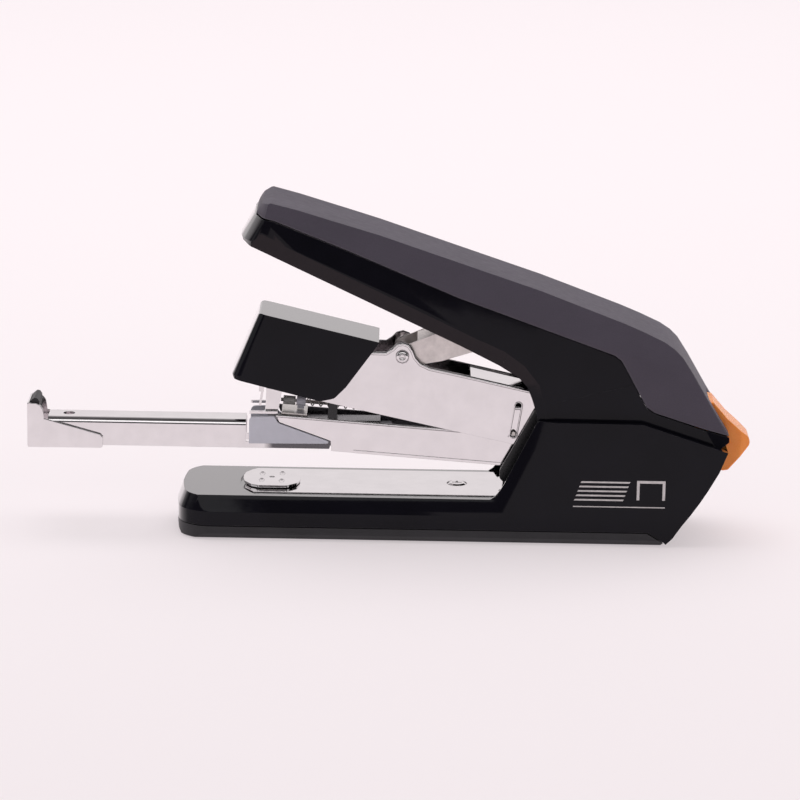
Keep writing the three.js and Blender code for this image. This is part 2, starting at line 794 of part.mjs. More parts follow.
// ---- arm --------------------------------------------------------------------------
{
  const wall = [
    [-50.9, 68.6],
    [-50.9, 53.8],
    [-40.6, 52.2],
    [-38.0, 45.8],
    [-13.3, 40.5],
    [6.5, 36.3],
    [31.1, 31.1],
    [45, 29.6],
    [72, 27.4],
    [80, 27.4, 2],
    [82.8, 31.5, 2],
    [80, 35.4, 2],
    [60, 38.6],
    [37, 49.2, 2],
    [12.7, 54.5],
    [2.8, 56.5],
    [-0.2, 57.9],
    [-1.9, 59.9],
    [-2.9, 62.4],
    [-4.2, 64.1],
    [-6.2, 64.8],
    [-8.2, 64.3],
    [-9.8, 62.7],
    [-11.7, 61.4],
    [-15.9, 61.5],
  ];
  const slot = [
    [31.25, 45.4, 0.9],
    [29.45, 33.75, 0.9],
    [31.4, 33.45, 0.9],
    [33.15, 45.1, 0.9],
  ];
  node(
    "arm_frame",
    cut(
      join(
        mirrored((k) => side(wall, k > 0 ? ARM_IN : -ARM_OUT, k > 0 ? ARM_OUT : -ARM_IN, 2)),
        // webs between the side plates: rear deck and front roof under the head cover
        side([[16, 52.0], [37, 47.4], [52, 41.2], [52.5, 42.0], [37.2, 48.8], [16.2, 53.4]], -ARM_OUT + 0.2, ARM_OUT - 0.2),
        side([[-50.9, 67.4], [-16.5, 60.4], [-16.4, 61.4], [-50.9, 68.6]], -ARM_OUT + 0.2, ARM_OUT - 0.2),
      ),
      cylY(PIVOT_ARM, PIN_R + GAP, -20, 20, 12),
      cylY(LINK_A, 1.5, -20, 20, 10),
      side(slot, -20, 20, 4),
    ),
    "chrome",
  );
  // head cover: open below and behind
  const head = [
    [-53.2, 74.2, 1.2],
    [-62.0, 53.1, 1.0],
    [-61.2, 51.9],
    [-51.4, 49.6],
    [-38.0, 46.2],
    [-33.0, 45.0, 3],
    [-28.4, 46.0, 2.5],
    [-24.6, 49.9, 2],
    [-14.1, 64.6],
    [-14.0, 65.2],
  ];
  const bowed = [
    [-8, -HEAD_OUT],
    [-8, HEAD_OUT],
    [-61.0, HEAD_OUT, 3],
    [-62.2, 6],
    [-62.4, 0],
    [-62.2, -6],
    [-61.0, -HEAD_OUT, 3],
  ];
  node(
    "head_cover",
    cut(
      side(head, -HEAD_OUT, HEAD_OUT, 3).intersect(leaning(bowed, 44, 76, 0, 3).intersect(leaning(bowed, 53, 76, 0.39, 3).add(box(-70, 0, -20, 20, 40, 53.02)))),
      side([[-52.6, 72.8], [-60.7, 53.3], [-60.2, 40], [-8, 40], [-8, 62.2]], -HEAD_IN, HEAD_IN),
    ),
    "gloss_black",
  );
  // driver blade with its clamp block under the roof of the arm
  // driver blade, leaning so that it stands square to the magazine when pressed; its tip is a narrower tongue
  const lean = Math.tan(rad(9));
  const blade = (z0, z1, w) =>
    side(
      [
        [-53.3 + (z0 - 41.7) * lean, z0],
        [-52.5 + (z0 - 41.7) * lean, z0],
        [-52.5 + (z1 - 41.7) * lean, z1],
        [-53.3 + (z1 - 41.7) * lean, z1],
      ],
      -w,
      w,
    );
  node(
    "driver_blade",
    join(
      blade(44.2, 66.2, 5.4),
      blade(41.7, 44.3, 4.5),
      // curled side lugs
      mirrored((k) => side([[-53.2, 46.8], [-51.6, 46.8], [-51.6, 48.6], [-53.2, 48.6]], k > 0 ? 4.7 : -5.4, k > 0 ? 5.4 : -4.7)),
    ),
    "chrome",
  );
  node(
    "driver_clamp",
    side([[-48.6, 61.2], [-43.4, 60.2], [-42.2, 64.6], [-47.8, 66.0]], -7.4, 7.4),
    "black_steel",
  );
  node(
    "link_rivet",
    join(
      cylY(LINK_A, 1.2, -9.6, 9.6, 10),
      cylY(LINK_A, 2.1, 9.0, 9.9, 14),
      cylY(LINK_A, 2.1, -9.9, -9.0, 14),
    ),
    "steel",
  );
}
// power link: two cheeks and a web, from the arm's rivet up to the handle's cross pin
{
  const dx = LINK_B[0] - LINK_A[0],
    dz = LINK_B[1] - LINK_A[1];
  const len = Math.hypot(dx, dz);
  const L = (s, n) => [LINK_A[0] + (dx * s - dz * n) / len, LINK_A[1] + (dz * s + dx * n) / len];
  const cheek = [
    [...L(-2.4, -2.2), 1.5],
    [...L(6, -4.4), 2],
    [...L(12, -4.9), 2],
    [...L(28, -4.2), 2],
    [...L(42.3, -4.0), 2.5],
    [...L(42.3, 4.0), 2.5],
    [...L(26, 4.2), 2],
    [...L(12, 4.4), 2],
    [...L(3.5, 3.2), 2],
    [...L(-2.4, 2.2), 1.5],
  ];
  node(
    "power_link",
    cut(
      join(
        mirrored((k) => side(cheek, k > 0 ? 6.7 : -7.5, k > 0 ? 7.5 : -6.7, 2)),
        side([L(6, 2.6), L(26.5, 3.2), L(26.5, 4.0), L(12, 4.2), L(6, 3.5)], -7.4, 7.4),
      ),
      cylY(LINK_A, 1.5, -20, 20, 10),
      side([[...L(29.0, -2.5), 1], [...L(39.8, -2.5), 1], [...L(39.8, 2.5), 1], [...L(29.0, 2.5), 1]], -20, 20, 2),
    ),
    "steel",
  );
}

// ---- handle -----------------------------------------------------------------------
{
  // common outer envelope of the handle's two mouldings
  const topLine = [
    [-54.3, 107.6],
    [-53.6, 109.2],
    [-52.4, 110.8],
    [-49.6, 111.6],
    [-40.9, 109.4],
    [-14.5, 101.6],
    [12.1, 93.0],
    [38.7, 83.9],
    [65.4, 73.9],
    [72.1, 71.1],
    [78.9, 67.9],
    [82.3, 65.6],
    [85.0, 62.9],
    [88.5, 57.5],
    [94.7, 46.9],
    [100.9, 36.4],
  ];
  const seam = [
    [100.9, 36.9],
    [76.2, 44.8],
    [73.6, 46.6],
    [72.4, 48.6],
    [65.8, 60.6],
    [64.8, 62.2],
    [62.6, 63.8],
    [12.0, 81.9],
    [-25.4, 97.3],
    [-48.2, 106.1],
    [-54.6, 108.0],
  ];
  const nose = [
    [120, -HANDLE_HALF_W],
    [120, HANDLE_HALF_W],
    [-55.6, HANDLE_HALF_W, 4.5],
    [-58.6, 10],
    [-59.3, 4],
    [-59.3, -4],
    [-58.6, -10],
    [-55.6, -HANDLE_HALF_W, 4.5],
  ];
  const envelope = leaning(nose, 20, 125, 0.0, 3)
    .intersect(leaning(nose, 99.3, 125, 0.52, 3).add(box(-70, 130, -20, 20, 20, 99.32)))
    // leaning side facets under the top edge, along the top and down the rear
    .intersect(
      across([[-17, -140], [17, -140], [17, -9.5], [13.6, -0.6], [12.4, 0.6], [-12.4, 0.6], [-13.6, -0.6], [-17, -9.5]], -160, 160, 18.4, [12.1, 93.0]),
    )
    .intersect(
      across([[-17, -200], [17, -200], [17, -6], [15.2, -0.4], [14.4, 0.4], [-14.4, 0.4], [-15.2, -0.4], [-17, -6]], -200, 200, 59.4, [94.7, 47.3]),
    );
  const coverSide = [...topLine.slice(0, -1), ...seam.slice(0, -1)];
  const innerTop = [
    [-50.4, 103.5],
    [-49.0, 108.8],
    [-14.9, 98.9],
    [11.4, 90.4],
    [38.0, 81.2],
    [64.4, 71.4],
    [77.6, 65.8],
    [82.8, 61.3],
    [92.4, 45.8],
    [98.6, 34.8],
    [98.6, 20],
    [30, 20],
    [30, 52],
    [-50.4, 90],
  ];
  // hollow of the handle, following the facets so that the wall keeps its thickness
  const hollow = side(
    innerTop.slice().reverse(),
    -HANDLE_HALF_W + HANDLE_WALL,
    HANDLE_HALF_W - HANDLE_WALL,
  )
    .intersect(
      across([[-14.8, -140], [14.8, -140], [14.8, -10.5], [11.8, -2.4], [11.8, 4], [-11.8, 4], [-11.8, -2.4], [-14.8, -10.5]], -160, 160, 18.4, [12.1, 93.0]),
    )
    .intersect(
      across([[-14.8, -200], [14.8, -200], [14.8, -7.5], [13, -1.8], [13, 4], [-13, 4], [-13, -1.8], [-14.8, -7.5]], -200, 200, 59.4, [94.7, 47.3]),
    );
  node(
    "handle_cover",
    cut(
      side(coverSide.slice().reverse(), -HANDLE_HALF_W, HANDLE_HALF_W).intersect(envelope),
      hollow,
      box(90, 110, -BUTTON_HALF_W - 0.6, BUTTON_HALF_W + 0.6, 20, 47.4),
    ),
    "matte_black",
  );
  // lower shell: outline from the seam (0.3 lower) down to the grip edge and round the hinge
  const down = (p, d) => [p[0], p[1] - d];
  const lower = [
    [-54.9, 107.2],
    [-56.0, 105.2],
    [-59.5, 99.4],
    [-58.4, 98.7],
    [-54.1, 96.8],
    [-46.3, 93.2],
    [-26.9, 84.3],
    [0.7, 71.3],
    [12.3, 65.9],
    [25.5, 59.3],
    [31.6, 55.6],
    [34.6, 52.4],
    [36.2, 48.4],
    [37.8, 43.4],
    [38.6, 39.0],
    [44, 33.0],
    [60, 28.2],
    [80, 24.6],
    [90, 25.0],
    [94.8, 30.6],
    [101.0, 34.8],
    [100.9, 36.4],
    ...seam.slice(1, 10).map((p) => down(p, 0.42)),
  ];
  const upperLean = [
    [[-52.6, 108.2, 15.9], [-53.6, 101.9, 16.9]],
    [[-37.2, 102.4, 15.9], [-39.9, 95.9, 16.9]],
    [[-20.6, 96.0, 15.9], [-23.7, 88.6, 16.9]],
    [[3.0, 86.2, 15.9], [-0.9, 78.3, 16.9]],
    [[26, 77.6, 15.9], [20.7, 67.6, 16.9]],
    [[38, 73.4, 16.0], [27, 64.6, 16.9]],
    [[50, 69.2, 16.2], [33.6, 60.0, 16.9]],
    [[64, 64.4, 16.5], [38.8, 53.5, 16.9]],
    [[69, 54.0, 16.7], [40.6, 46.8, 16.9]],
  ];
  const neckLean = [
    [[12.6, 70.2, 16.9], [9.4, 65.6, 15.6]],
    [[20.7, 67.2, 16.9], [17.9, 61.6, 15.6]],
    [[27.0, 64.3, 16.9], [24.2, 58.6, 15.6]],
    [[33.4, 59.7, 16.9], [30.2, 55.2, 15.7]],
    [[38.4, 53.4, 16.9], [33.4, 52.2, 15.9]],
    [[40.2, 46.8, 16.9], [35.8, 46.9, 16.1]],
    [[40.9, 41.5, 16.9], [37.4, 41.0, 16.3]],
    [[41.4, 36.0, 16.9], [38.4, 36.0, 16.5]],
  ];
  node(
    "handle_shell",
    cut(
      side(lower, -HANDLE_HALF_W, HANDLE_HALF_W)
        .intersect(envelope)
        .intersect(box(-70, 110, -HANDLE_HALF_W + 0.1, HANDLE_HALF_W - 0.1, 0, 120)),
      hollow,
      // the side leans in from a crease up to the seam, and in again from the crease to the neck's edge
      mirrored((k) => ruled(k, upperLean)),
      mirrored((k) => ruled(k, neckLean)),
      // inward lean of the grip edge
      mirrored((k) =>
        across(
          k > 0
            ? [[18, -6], [18, 4.6], [16.9, 4.6], [15.6, -0.6], [15.6, -6]]
            : [[-15.6, -6], [-15.6, -0.6], [-16.9, 4.6], [-18, 4.6], [-18, -6]],
          -120,
          15.2,
          25.3,
          [12.3, 65.9],
        ),
      ),
      cylY(PIVOT_HANDLE, PIN_R + GAP, -16.5, 16.5),
      box(90, 110, -BUTTON_HALF_W - 0.6, BUTTON_HALF_W + 0.6, 20, 47.4),
    ),
    "gloss_black",
  );
  // cross pin carried between two ribs of the cover
  node("link_pin", cylY(LINK_B, 1.5, -12.2, 12.2, 12), "steel");
  node(
    "link_pin_saddle",
    cut(
      join(
        mirrored((k) => side([[26.4, 66.6, 1], [33.6, 66.6, 1], [36.4, 80.2], [24.6, 84.4]], k > 0 ? 9.2 : -11.4, k > 0 ? 11.4 : -9.2, 2)),
        side([[36.4, 79.0], [36.5, 81.0], [24.5, 85.1], [24.4, 83.0]], -11.4, 11.4),
      ),
      cylY(LINK_B, 1.8, -20, 20, 12),
    ),
    "band_black",
  );
}

export default group;
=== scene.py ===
import json
import math

import bmesh
import bpy
from mathutils import Matrix, Quaternion, Vector

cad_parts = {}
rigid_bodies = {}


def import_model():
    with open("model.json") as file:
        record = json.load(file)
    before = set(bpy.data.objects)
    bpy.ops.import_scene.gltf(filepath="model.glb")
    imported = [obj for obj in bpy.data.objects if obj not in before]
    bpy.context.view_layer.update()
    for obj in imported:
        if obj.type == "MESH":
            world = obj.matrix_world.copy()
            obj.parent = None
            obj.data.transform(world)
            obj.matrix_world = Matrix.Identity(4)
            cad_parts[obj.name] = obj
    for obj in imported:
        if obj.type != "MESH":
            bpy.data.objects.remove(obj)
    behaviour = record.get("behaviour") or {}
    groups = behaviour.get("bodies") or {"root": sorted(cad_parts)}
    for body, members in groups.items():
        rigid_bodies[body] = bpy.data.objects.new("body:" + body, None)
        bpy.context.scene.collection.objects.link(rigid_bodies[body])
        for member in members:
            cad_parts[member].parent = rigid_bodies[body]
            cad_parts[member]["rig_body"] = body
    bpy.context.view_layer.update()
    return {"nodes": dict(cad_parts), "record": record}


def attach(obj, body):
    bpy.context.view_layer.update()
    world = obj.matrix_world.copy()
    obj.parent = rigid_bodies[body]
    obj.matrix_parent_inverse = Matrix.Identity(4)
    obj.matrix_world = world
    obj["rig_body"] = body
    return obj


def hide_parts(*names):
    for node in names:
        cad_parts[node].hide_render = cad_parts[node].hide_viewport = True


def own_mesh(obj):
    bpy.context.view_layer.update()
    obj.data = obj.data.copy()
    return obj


for old in list(bpy.data.objects):
    bpy.data.objects.remove(old, do_unlink=True)

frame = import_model()
NODES = frame["nodes"]
scene = bpy.context.scene
MM = 0.001


# ---------------------------------------------------------------- materials
class Mat:
    """One procedural material. Everything reads object coordinates, in metres."""

    def __init__(self, name):
        self.m = bpy.data.materials.new(name)
        self.m.use_nodes = True
        self.t = self.m.node_tree
        self.t.nodes.clear()
        out = self.t.nodes.new("ShaderNodeOutputMaterial")
        self.b = self.t.nodes.new("ShaderNodeBsdfPrincipled")
        self.t.links.new(self.b.outputs[0], out.inputs[0])
        self.co = self.t.nodes.new("ShaderNodeTexCoord").outputs["Object"]

    def set(self, **values):
        for k, v in values.items():
            self.b.inputs[k.replace("_", " ")].default_value = v
        return self

    def put(self, socket, value):
        if isinstance(value, bpy.types.NodeSocket):
            self.t.links.new(value, socket)
        else:
            socket.default_value = value

    def moved(self, scale=(1, 1, 1), rot=(0, 0, 0), loc=(0, 0, 0)):
        n = self.t.nodes.new("ShaderNodeMapping")
        self.t.links.new(self.co, n.inputs[0])
        n.inputs["Scale"].default_value = scale
        n.inputs["Rotation"].default_value = [math.radians(r) for r in rot]
        n.inputs["Location"].default_value = loc
        return n.outputs[0]

    def noise(self, size, detail=3.0, rough=0.5, co=None, distort=0.0):
        n = self.t.nodes.new("ShaderNodeTexNoise")
        self.t.links.new(co or self.co, n.inputs["Vector"])
        n.inputs["Scale"].default_value = 1.0 / size
        n.inputs["Detail"].default_value = detail
        n.inputs["Roughness"].default_value = rough
        n.inputs["Distortion"].default_value = distort
        return n.outputs["Fac"]

    def voronoi(self, size, feature="F1", co=None, randomness=1.0):
        n = self.t.nodes.new("ShaderNodeTexVoronoi")
        n.feature = feature
        self.t.links.new(co or self.co, n.inputs["Vector"])
        n.inputs["Scale"].default_value = 1.0 / size
        n.inputs["Randomness"].default_value = randomness
        return n.outputs["Distance"]

    def remap(self, v, a, b, c, d, smooth=False):
        n = self.t.nodes.new("ShaderNodeMapRange")
        if smooth:
            n.interpolation_type = "SMOOTHSTEP"
        self.put(n.inputs[0], v)
        for i, x in enumerate((a, b, c, d)):
            n.inputs[i + 1].default_value = x
        return n.outputs[0]

    def math(self, op, a, b=0.0):
        n = self.t.nodes.new("ShaderNodeMath")
        n.operation = op
        self.put(n.inputs[0], a)
        self.put(n.inputs[1], b)
        return n.outputs[0]

    def mix(self, f, a, b):
        n = self.t.nodes.new("ShaderNodeMix")
        n.data_type = "RGBA"
        self.put(n.inputs[0], f)
        for s, v in ((n.inputs[6], a), (n.inputs[7], b)):
            if isinstance(v, bpy.types.NodeSocket):
                self.t.links.new(v, s)
            else:
                s.default_value = (*v, 1) if len(v) == 3 else v
        return n.outputs[2]

    def edges(self, radius, lo=0.999, hi=0.93, samples=4):
        """1 along edges, 0 on flat faces, and the rounded normal."""
        bev = self.t.nodes.new("ShaderNodeBevel")
        bev.samples = samples
        bev.inputs["Radius"].default_value = radius
        geo = self.t.nodes.new("ShaderNodeNewGeometry")
        dot = self.t.nodes.new("ShaderNodeVectorMath")
        dot.operation = "DOT_PRODUCT"
        self.t.links.new(bev.outputs[0], dot.inputs[0])
        self.t.links.new(geo.outputs["Normal"], dot.inputs[1])
        return self.remap(dot.outputs["Value"], lo, hi, 0, 1), bev.outputs[0]

    def bump(self, height, distance, strength=1.0, normal=None):
        n = self.t.nodes.new("ShaderNodeBump")
        n.inputs["Strength"].default_value = strength
        n.inputs["Distance"].default_value = distance
        self.put(n.inputs["Height"], height)
        if normal is not None:
            self.t.links.new(normal, n.inputs["Normal"])
        return n.outputs[0]

    def facing(self):
        """0 face-on, towards 1 at grazing."""
        n = self.t.nodes.new("ShaderNodeLayerWeight")
        n.inputs["Blend"].default_value = 0.5
        return n.outputs["Facing"]

    def axis(self, i):
        n = self.t.nodes.new("ShaderNodeSeparateXYZ")
        self.t.links.new(self.co, n.inputs[0])
        return n.outputs[i]

    def out(self, color=None, rough=None, normal=None):
        if color is not None:
            self.t.links.new(color, self.b.inputs["Base Color"])
        if rough is not None:
            self.t.links.new(rough, self.b.inputs["Roughness"])
        if normal is not None:
            self.t.links.new(normal, self.b.inputs["Normal"])
        return self.m


def gloss_black(name, base=(0.0044, 0.0041, 0.0070), rough=(0.06, 0.13), level=0.16, radius=0.25 * MM, grip=None):
    k = Mat(name).set(Specular_IOR_Level=level)
    e, n0 = k.edges(radius)
    cloud = k.noise(14 * MM, 2)
    haze = k.noise(1.6 * MM, 4, 0.6)
    streak = k.noise(0.5 * MM, 3, 0.6, k.moved((0.05, 1, 0.6), (0, 24, 0)))
    speck = k.remap(k.voronoi(2.6 * MM), 0.035, 0.02, 0, 1)
    speck = k.math("MULTIPLY", speck, k.remap(k.noise(9 * MM, 1), 0.55, 0.62, 0, 1))
    dark = k.mix(k.remap(cloud, 0.3, 0.7, 0, 1), base, tuple(c * 1.35 for c in base))
    edge_wear_and_band_reflection = k.mix(k.math("MULTIPLY", e, k.remap(haze, 0.4, 0.65, 0.25, 0.8)), dark, (0.075, 0.073, 0.08))
    if grip is not None:
        # painted reflection: the side that leans in under the crease gets the lighter brownish grip colour, standing
        # in for the brighter floor it reflects
        n = k.t.nodes.new("ShaderNodeSeparateXYZ")
        k.t.links.new(k.t.nodes["Texture Coordinate"].outputs["Normal"], n.inputs[0])
        under = k.remap(n.outputs[2], -0.05, -0.11, 0, 1)
        edge_wear_and_band_reflection = k.mix(k.math("MULTIPLY", under, k.remap(haze, 0.3, 0.7, 0.85, 1.0)), edge_wear_and_band_reflection, grip)
    col = k.mix(k.math("MULTIPLY", speck, 0.35), edge_wear_and_band_reflection, (0.07, 0.068, 0.07))
    r = k.math("ADD", k.remap(haze, 0.3, 0.75, rough[0], rough[1]), k.remap(streak, 0.6, 0.8, 0, 0.06))
    r = k.math("ADD", r, k.math("MULTIPLY", e, 0.06))
    peel = k.math("ADD", k.noise(1.1 * MM, 2), k.math("MULTIPLY", k.noise(7 * MM, 1), 2.5))
    graze = k.remap(k.facing(), 0.35, 0.72, 0, 1)
    k.put(k.b.inputs["Coat Weight"], graze)
    k.set(Coat_IOR=1.6, Coat_Roughness=0.05)
    k.put(k.b.inputs["Specular IOR Level"], k.remap(graze, 0, 1, level, 0.55))
    return k.out(col, r, k.bump(peel, 0.004 * MM, 0.6, n0))


def matte_black(name):
    k = Mat(name).set(Specular_IOR_Level=0.32, Sheen_Weight=0.0)
    e, n0 = k.edges(0.35 * MM)
    grain = k.voronoi(0.34 * MM, "SMOOTH_F1")
    fine = k.noise(0.16 * MM, 3, 0.6)
    cloud = k.noise(22 * MM, 3, 0.55)
    rub_and_edge_highlight = k.noise(0.9 * MM, 4, 0.6, k.moved((0.12, 1, 1), (0, 23, 0)))
    base = k.mix(k.remap(cloud, 0.3, 0.7, 0, 1), (0.079, 0.067, 0.092), (0.092, 0.078, 0.107))
    base = k.mix(k.remap(fine, 0.35, 0.65, 0, 0.35), base, (0.036, 0.033, 0.039))
    # painted highlight: edges are painted a light grey, patchy along their length, standing in for highlight lines on
    # the rounded edges
    col = k.mix(k.math("MULTIPLY", e, k.remap(rub_and_edge_highlight, 0.35, 0.65, 0.4, 0.9)), base, (0.21, 0.2, 0.22))
    r = k.math("ADD", k.remap(rub_and_edge_highlight, 0.3, 0.75, 0.46, 0.6), k.math("MULTIPLY", e, -0.1))
    h = k.math("ADD", grain, k.math("MULTIPLY", fine, 0.6))
    return k.out(col, r, k.bump(h, 0.02 * MM, 0.55, n0))


def satin_black(name, base=(0.017, 0.0165, 0.0195), rough=0.4, grain=0.3 * MM):
    k = Mat(name).set(Specular_IOR_Level=0.4)
    e, n0 = k.edges(0.2 * MM)
    fine = k.noise(grain, 3, 0.6)
    cloud = k.noise(8 * MM, 3)
    col = k.mix(k.remap(cloud, 0.3, 0.7, 0, 1), base, tuple(c * 1.4 for c in base))
    col = k.mix(k.math("MULTIPLY", e, k.remap(fine, 0.4, 0.6, 0.1, 0.5)), col, (0.06, 0.058, 0.062))
    r = k.remap(fine, 0.3, 0.7, rough - 0.06, rough + 0.1)
    return k.out(col, r, k.bump(fine, 0.015 * MM, 0.5, n0))


def rubber(name):
    k = Mat(name).set(Specular_IOR_Level=0.25)
    fine = k.noise(0.4 * MM, 4, 0.65)
    cloud = k.noise(5 * MM, 3)
    col = k.mix(k.remap(cloud, 0.35, 0.7, 0, 1), (0.016, 0.016, 0.017), (0.035, 0.034, 0.034))
    return k.out(col, k.remap(fine, 0.3, 0.7, 0.7, 0.9), k.bump(fine, 0.04 * MM, 0.7))


def chrome(name, tint=(0.80, 0.775, 0.785), rough=(0.045, 0.11), wave=1.0, radius=0.12 * MM, shade_inside_half_width=0.0, shade_behind_x=None):
    k = Mat(name).set(Metallic=1.0)
    e, n0 = k.edges(radius)
    cloud = k.noise(6 * MM, 3)
    haze = k.noise(1.2 * MM, 4, 0.6)
    scratch = k.noise(0.22 * MM, 2, 0.6, k.moved((0.02, 1, 1), (0, 3, 0)))
    spot = k.remap(k.voronoi(1.9 * MM), 0.05, 0.03, 0, 1)
    spot = k.math("MULTIPLY", spot, k.remap(k.noise(7 * MM, 1), 0.5, 0.6, 0, 1))
    col = k.mix(k.remap(cloud, 0.3, 0.7, 0, 1), tint, tuple(c * 0.94 for c in tint))
    col = k.mix(k.math("MULTIPLY", spot, 0.5), col, (0.42, 0.4, 0.39))
    col = k.mix(k.math("MULTIPLY", e, 0.35), col, (0.93, 0.92, 0.92))
    r = k.math("ADD", k.remap(haze, 0.35, 0.75, rough[0], rough[1]), k.remap(scratch, 0.62, 0.8, 0, 0.12))
    if shade_inside_half_width:
        # painted shade: the channel's inner faces are painted dark and made rougher, standing in for the shade inside
        # the narrow channel
        inner = k.remap(k.math("ABSOLUTE", k.axis(1)), shade_inside_half_width - 0.03 * MM, shade_inside_half_width + 0.03 * MM, 1, 0)
        col = k.mix(inner, col, (0.17, 0.165, 0.175))
        r = k.math("ADD", r, k.math("MULTIPLY", inner, 0.22))
    if shade_behind_x is not None:
        # painted shade: the part behind this X, which runs inside the channel, is painted dark and made rougher
        inner = k.remap(k.axis(0), shade_behind_x - 1.5 * MM, shade_behind_x + 1.5 * MM, 0, 1)
        col = k.mix(inner, col, (0.13, 0.125, 0.135))
        r = k.math("ADD", r, k.math("MULTIPLY", inner, 0.2))
    h = k.math("ADD", k.math("MULTIPLY", k.noise(5 * MM, 1), 6.0), k.math("MULTIPLY", scratch, 0.25))
    return k.out(col, r, k.bump(h, 0.0035 * MM * wave, 0.8, n0))


def steel(name, tint=(0.60, 0.575, 0.55), rough=0.26, along=(0, 0, 0), stretch=(0.03, 1, 1)):
    k = Mat(name).set(Metallic=1.0)
    e, n0 = k.edges(0.08 * MM)
    brushed = k.noise(0.16 * MM, 4, 0.65, k.moved(stretch, along))
    cloud = k.noise(3 * MM, 3, 0.6)
    col = k.mix(k.remap(cloud, 0.3, 0.7, 0, 1), tint, tuple(c * 0.8 for c in tint))
    col = k.mix(k.math("MULTIPLY", e, 0.4), col, (0.8, 0.79, 0.77))
    r = k.remap(brushed, 0.3, 0.7, rough - 0.07, rough + 0.12)
    return k.out(col, r, k.bump(brushed, 0.006 * MM, 0.6, n0))


def painted_steel(name):
    k = Mat(name).set(Specular_IOR_Level=0.5)
    e, n0 = k.edges(0.12 * MM)
    fine = k.noise(0.5 * MM, 4, 0.6)
    bare = k.math("MULTIPLY", e, k.remap(fine, 0.5, 0.6, 0, 0.7))
    col = k.mix(bare, (0.012, 0.012, 0.014), (0.2, 0.19, 0.18))
    return k.out(col, k.remap(fine, 0.3, 0.7, 0.22, 0.4), k.bump(fine, 0.01 * MM, 0.5, n0))


def plastic(name, base, dark, rough=(0.34, 0.48), level=0.45, sss=0.0, sss_r=(1, 1, 1), edge=(0.7, 0.7, 0.72), edge_f=0.3, transmit=0.0, grain=0.25):
    k = Mat(name).set(Specular_IOR_Level=level, Subsurface_Weight=sss, Subsurface_Radius=sss_r, Subsurface_Scale=0.8 * MM, Transmission_Weight=transmit)
    e, n0 = k.edges(0.15 * MM)
    fine = k.noise(grain * MM, 3, 0.6)
    cloud = k.noise(4 * MM, 3, 0.6)
    flow = k.noise(2.5 * MM, 2, 0.5, k.moved((0.2, 1, 1), (0, 15, 0)))
    col = k.mix(k.remap(cloud, 0.3, 0.7, 0, 1), base, dark)
    col = k.mix(k.remap(flow, 0.6, 0.8, 0, 0.25), col, edge)
    col = k.mix(k.math("MULTIPLY", e, edge_f), col, edge)
    r = k.remap(fine, 0.3, 0.7, *rough)
    return k.out(col, r, k.bump(fine, 0.01 * MM, 0.5, n0))


M_GLOSS = gloss_black("gloss_black_moulding")
M_GLOSS_HEAD = gloss_black("gloss_black_head", rough=(0.06, 0.12))
# grip is a painted reflection: the lighter colour of the handle shell's lower band
M_GLOSS_SHELL = gloss_black("gloss_black_handle", grip=(0.021, 0.0155, 0.0188))
M_MATTE = matte_black("matte_grey_black_grain")
M_BAND = satin_black("satin_black_tray")
M_RUBBER = rubber("black_rubber")
M_CHROME = chrome("bright_plated_sheet")
# inner faces of the channel painted dark as shade
M_CHROME_MAG = chrome("bright_plated_channel", shade_inside_half_width=6.75 * MM)
# the rail's part inside the channel is painted dark as shade
M_CHROME_RAIL = chrome("bright_plated_rail", shade_behind_x=-50.0 * MM)
M_CHROME_BED = chrome("bright_plated_bed", rough=(0.05, 0.13))
M_STEEL = steel("drawn_steel")
M_LINK = steel("nickel_pressed_link", (0.82, 0.765, 0.745), 0.36, stretch=(1, 1, 1))
M_BLACK_STEEL = painted_steel("black_coated_steel")
M_GREY = plastic("light_grey_moulding", (0.70, 0.70, 0.78), (0.66, 0.66, 0.735), edge=(0.62, 0.62, 0.66))
M_CLEAR = plastic("milky_moulding", (0.72, 0.72, 0.71), (0.62, 0.62, 0.6), transmit=0.45, edge=(0.9, 0.9, 0.9))
M_ORANGE = plastic("orange_moulding", (1.0, 0.32, 0.05), (0.94, 0.28, 0.04), rough=(0.22, 0.34), sss=0.25, sss_r=(1, 0.35, 0.1), edge=(0.95, 0.45, 0.16), edge_f=0.35)
M_GRIP = satin_black("dark_ribbed_moulding", (0.02, 0.0185, 0.022), 0.45)

SLOT = {
    "gloss_black": M_GLOSS,
    "matte_black": M_MATTE,
    "band_black": M_BAND,
    "rubber": M_RUBBER,
    "chrome": M_CHROME,
    "steel": M_STEEL,
    "black_steel": M_BLACK_STEEL,
    "grey_plastic": M_GREY,
    "clear_plastic": M_CLEAR,
    "orange": M_ORANGE,
    "grip": M_GRIP,
}
SPECIAL = {"handle_shell": M_GLOSS_SHELL, "drawer_rail": M_CHROME_RAIL, "magazine_channel": M_CHROME_MAG, "power_link": M_LINK, "bed_plate": M_CHROME_BED, "head_cover": M_GLOSS_HEAD}
NODE_SLOT = {s["node"]: s["material_slot"] for s in frame["record"]["subparts"]}


def dress(obj, material):
    obj.data.materials.clear()
    obj.data.materials.append(material)


